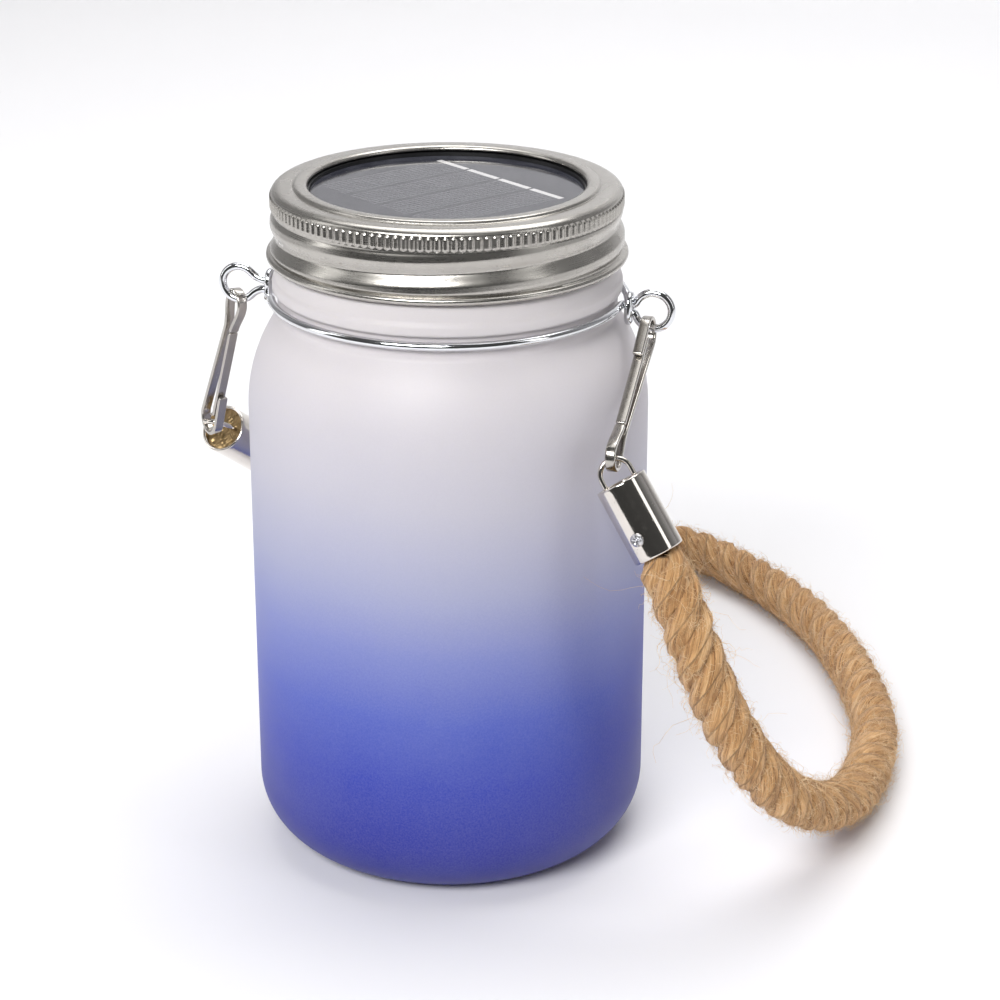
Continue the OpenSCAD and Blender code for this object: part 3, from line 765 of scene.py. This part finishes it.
def strip(points):
    """Rounded flat strip along points (x, y) in the clip's plane; z is the strip's width."""
    p = np.array([(x, y, 0) for x, y in points], float)
    p = spline(p, 0.25)
    T = np.gradient(p, axis=0)
    T /= np.linalg.norm(T, axis=1)[:, None]
    W = np.tile([0.0, 0.0, 1.0], (len(p), 1))
    U = np.cross(T, W)
    # the section is a rectangle with round edges
    sec, h, w, rr = [], STRIP_T / 2, STRIP_W / 2, 0.30
    corners = ((h - rr, w - rr, 0), (-h + rr, w - rr, 90), (-h + rr, -w + rr, 180), (h - rr, -w + rr, 270))
    for cx, cy, a0 in corners:
        for a_ in np.radians(np.linspace(a0, a0 + 90, 6)):
            sec.append((cx + rr * math.cos(a_), cy + rr * math.sin(a_)))
    # the cut ends are a little smaller
    r = np.ones(len(p))
    r[0] = r[-1] = 0.82
    return sweep(p, r, fr=(T, U, W), section=sec)


def clip_parts():
    """The bent strip of a clip, from the hook's tip round both ends, and its springy leg."""
    def side(a, b, m, way):
        return [(way * half_at(s_), s_) for s_ in np.linspace(a, b, m)]

    pts = side(10.4, 2.9, 10, 1) + [tuple(q) for q in arc(0, 2.9, 3.35, 0, -180, 20)[1:]]
    pts += side(2.9, 27, 14, -1)[1:] + side(27, 34, 10, -1)[1:]
    pts += [tuple(q) for q in arc(0, 34.0, 2.75, 180, 0, 18)[1:]] + side(34, 27.3, 10, 1)[1:]
    gate = [(1.25, 27.0), (1.33, 22), (1.42, 14), (1.5, 8), (1.55, 4.8)]
    return strip(pts), strip(gate)


HOOK, GATE = clip_parts()


def place_clip(p, v, top, turn, narrow_up):
    """Moves a clip's points so that it hangs from p along v, turned about its length."""
    M = aim(v, turn)
    flip = 1 if narrow_up else -1
    q = np.array([[1, 0, 0], [0, 0, flip], [0, -flip, 0]])
    off = M @ np.array([0, 0, CLIP_L - top if narrow_up else -top]) + np.asarray(p, float)
    return lambda V: V @ (M @ q).T + off


# The left clip is turned towards the photo's view. The CAD part is turned to 54 degrees instead, which clears
# the rear wire and the cap eye; at this turn the strip cuts a little into both.
LEFT_TURN, RIGHT_TURN = 8, 182
left = place_clip([-45.8, 0, 117.6], [-9.8, 8, -32], 1.32, LEFT_TURN, True)
right = place_clip([42.4, 0, 117.2], [-2.2, -27.9, -18.8], 1.25, RIGHT_TURN, False)
for side, put in (("left", left), ("right", right)):
    for name, mesh, body, stands_for in (
        ("_clip_strip", HOOK, "_hook", "_clip"),
        ("_gate_strip", GATE, "_gate", "_clip_gate"),
    ):
        verts, faces = mesh
        add_mesh(side + name, put(verts), faces, side + body, MAT["clip"], [side + stands_for])


# ---------------------------------------------------------------- end caps
def cap_meshes():
    ms, L, R, t = 4.85, 16.2, 5.3, 0.7
    prof = [(R - t, ms + 2.6), (R - t, ms + 0.25), (R - t + 0.15, ms + 0.06), (R - t + 0.35, ms)]
    prof += [(R - 0.18, ms + 0.03), (R - 0.03, ms + 0.18)]
    prof += [(R, z) for z in np.linspace(ms + 0.4, ms + L - 0.4, 24)]
    prof += [(R - 0.04, ms + L - 0.15), (R - 0.2, ms + L), (R - t + 0.1, ms + L)]
    prof += [(R - t, ms + L - 0.2), (R - t, ms + 4.2)]
    tube = revolve(prof, 96, closed=False)
    # rough cast divider
    n, m = 72, 16
    V = []
    for i in range(m + 1):
        for j in range(n):
            a_ = 2 * math.pi * j / n
            r = (R - t + 0.05) * i / m
            x, y = r * math.cos(a_), r * math.sin(a_)
            h = 0.32 * math.sin(x * 2.1 + 1) * math.cos(y * 1.7) + 0.16 * math.sin(x * 5.3 + y * 3.1)
            h += 0.10 * math.sin(9.1 * x - 7.7 * y)
            rim = (i / m) ** 4
            V.append((x, y, ms + 2.6 - 0.9 * rim + h * (1 - 0.4 * rim)))
    div = (np.array(V), [list(f) for f in grid_faces(n, m + 1)])
    return tube, div


def eye_mesh():
    U_ = [(3.2 * math.cos(a_), 0, 3.2 - 3.2 * math.sin(a_)) for a_ in np.radians(np.linspace(0, 180, 32))]
    path = [(3.2, 0, 7.3), (3.2, 0, 5.5)] + U_ + [(-3.2, 0, 5.5), (-3.2, 0, 7.3)]
    return sweep(spline(path, 0.2), 0.55, 18)


def screw_mesh(turn=119.0):
    head = [(0, 0.45), (0.3, 0.44), (0.85, 0.80), (1.15, 0.62), (1.34, 0.36), (1.4, 0.12)]
    head += [(1.4, -0.02), (0.85, -0.06), (0.8, -2.5), (0, -2.5)]
    V, F = revolve(head, 48, closed=False)
    V = V.copy()
    # cross recess
    r = np.hypot(V[:, 0], V[:, 1])
    cross = np.minimum(np.abs(V[:, 0]), np.abs(V[:, 1])) < 0.17
    V[:, 2] += np.where((r < 1.0) & (V[:, 2] > 0.3), np.where(cross, -0.2, 0.32 * (1 - r)), 0)
    # the head faces +X, then turns with the cap
    W_ = np.stack([V[:, 2] + 5.35, V[:, 1], -V[:, 0]], -1)
    W_ = W_ @ rot_z(math.radians(turn)).T + np.array([0, 0, 4.85 + 11.5])
    return W_, F


TUBE, DIV = cap_meshes()
EYE, SCREW = eye_mesh(), screw_mesh()
for side, e, d, roll in (("left", LEFT_E, LEFT_D, 84), ("right", RIGHT_E, RIGHT_D, 145)):
    M = aim(d, roll)

    def put(V):
        return np.asarray(V) @ M.T + e

    shell = add_mesh(side + "_cap_shell", put(TUBE[0]), TUBE[1], "handle", MAT["cap"],
                     [side + "_end_cap"])
    crease(shell, 50)
    add_mesh(side + "_cap_divider", put(DIV[0]), DIV[1], "handle", MAT["cast"])
    add_mesh(side + "_eye_wire", put(EYE[0]), EYE[1], "handle", MAT["cap"], [side + "_cap_eye"])
    pan = add_mesh(side + "_cap_pan_screw", put(SCREW[0]), SCREW[1], "handle", MAT["zinc"],
                   [side + "_cap_screw"])
    crease(pan, 40)


# ---------------------------------------------------------------- floor and light
def make_floor():
    """A flat floor that curves up into a wall 1.5 m behind the lantern. Its outline is (y, z) in metres."""
    bend = [(0.9 + 0.6 * math.sin(a_), 0.6 - 0.6 * math.cos(a_)) for a_ in np.linspace(0.1, math.pi / 2, 14)]
    prof = [(-0.32, 0.0), (0.9, 0.0)] + bend + [(1.5, 2.2)]
    V = [(x / MM, y / MM, z / MM) for y, z in prof for x in (-2.2, 2.2)]
    F = [[2 * i, 2 * i + 1, 2 * i + 3, 2 * i + 2] for i in range(len(prof) - 1)]
    m, nt, b = material("pale_floor")
    n = noise(nt, coords(nt), 3, 3)
    link(nt, mix(nt, n, (0.86, 0.855, 0.87), (0.885, 0.88, 0.892)), b.inputs["Base Color"])
    b.inputs["Roughness"].default_value = 0.75
    b.inputs["Specular IOR Level"].default_value = 0.15
    f = add_mesh("floor", V, F, mat=m)


make_floor()


def area(name, loc, target, size, power, size_y=None):
    l = bpy.data.lights.new(name, "AREA")
    l.energy = power
    l.shape = "RECTANGLE"
    l.size = size
    l.size_y = size_y or size
    o = bpy.data.objects.new(name, l)
    o.location = loc
    d = np.array(target, float) - np.array(loc, float)
    o.rotation_euler = Vector(d).to_track_quat("-Z", "Y").to_euler()
    bpy.context.scene.collection.objects.link(o)
    return o


area("key_front", (-0.15, -1.00, 0.80), (0, 0, 0.08), 0.75, 14.0, size_y=0.38)
area("side_left", (-0.85, -0.25, 0.45), (0, 0, 0.08), 0.22, 1.2, size_y=0.8)
area("side_right", (0.85, -0.30, 0.45), (0, 0, 0.08), 0.22, 0.9, size_y=0.8)
area("overhead", (0.10, 0.25, 1.10), (0.03, 0.05, 0.0), 0.9, 3.6)
area("backdrop", (0.0, 0.55, 1.2), (0.0, 1.3, 0.3), 1.2, 11.0)
world = bpy.data.worlds.new("studio")
bpy.context.scene.world = world
world.use_nodes = True
wn = world.node_tree
bg = wn.nodes["Background"]
ws = wn.nodes.new("ShaderNodeSeparateXYZ")
link(wn, coords(wn, "Generated"), ws.inputs[0])
# a dark room in front, bright over the backdrop
front = ramp(wn, remap(wn, ws.outputs[1], -1, 1, 0, 1), [
    (0.0, (0.05, 0.05, 0.05)), (0.40, (0.08, 0.08, 0.08)),
    (0.6, (0.22, 0.22, 0.225)), (1.0, (0.62, 0.62, 0.63)),
])
link(wn, front, bg.inputs[0])
bg.inputs[1].default_value = 1.0
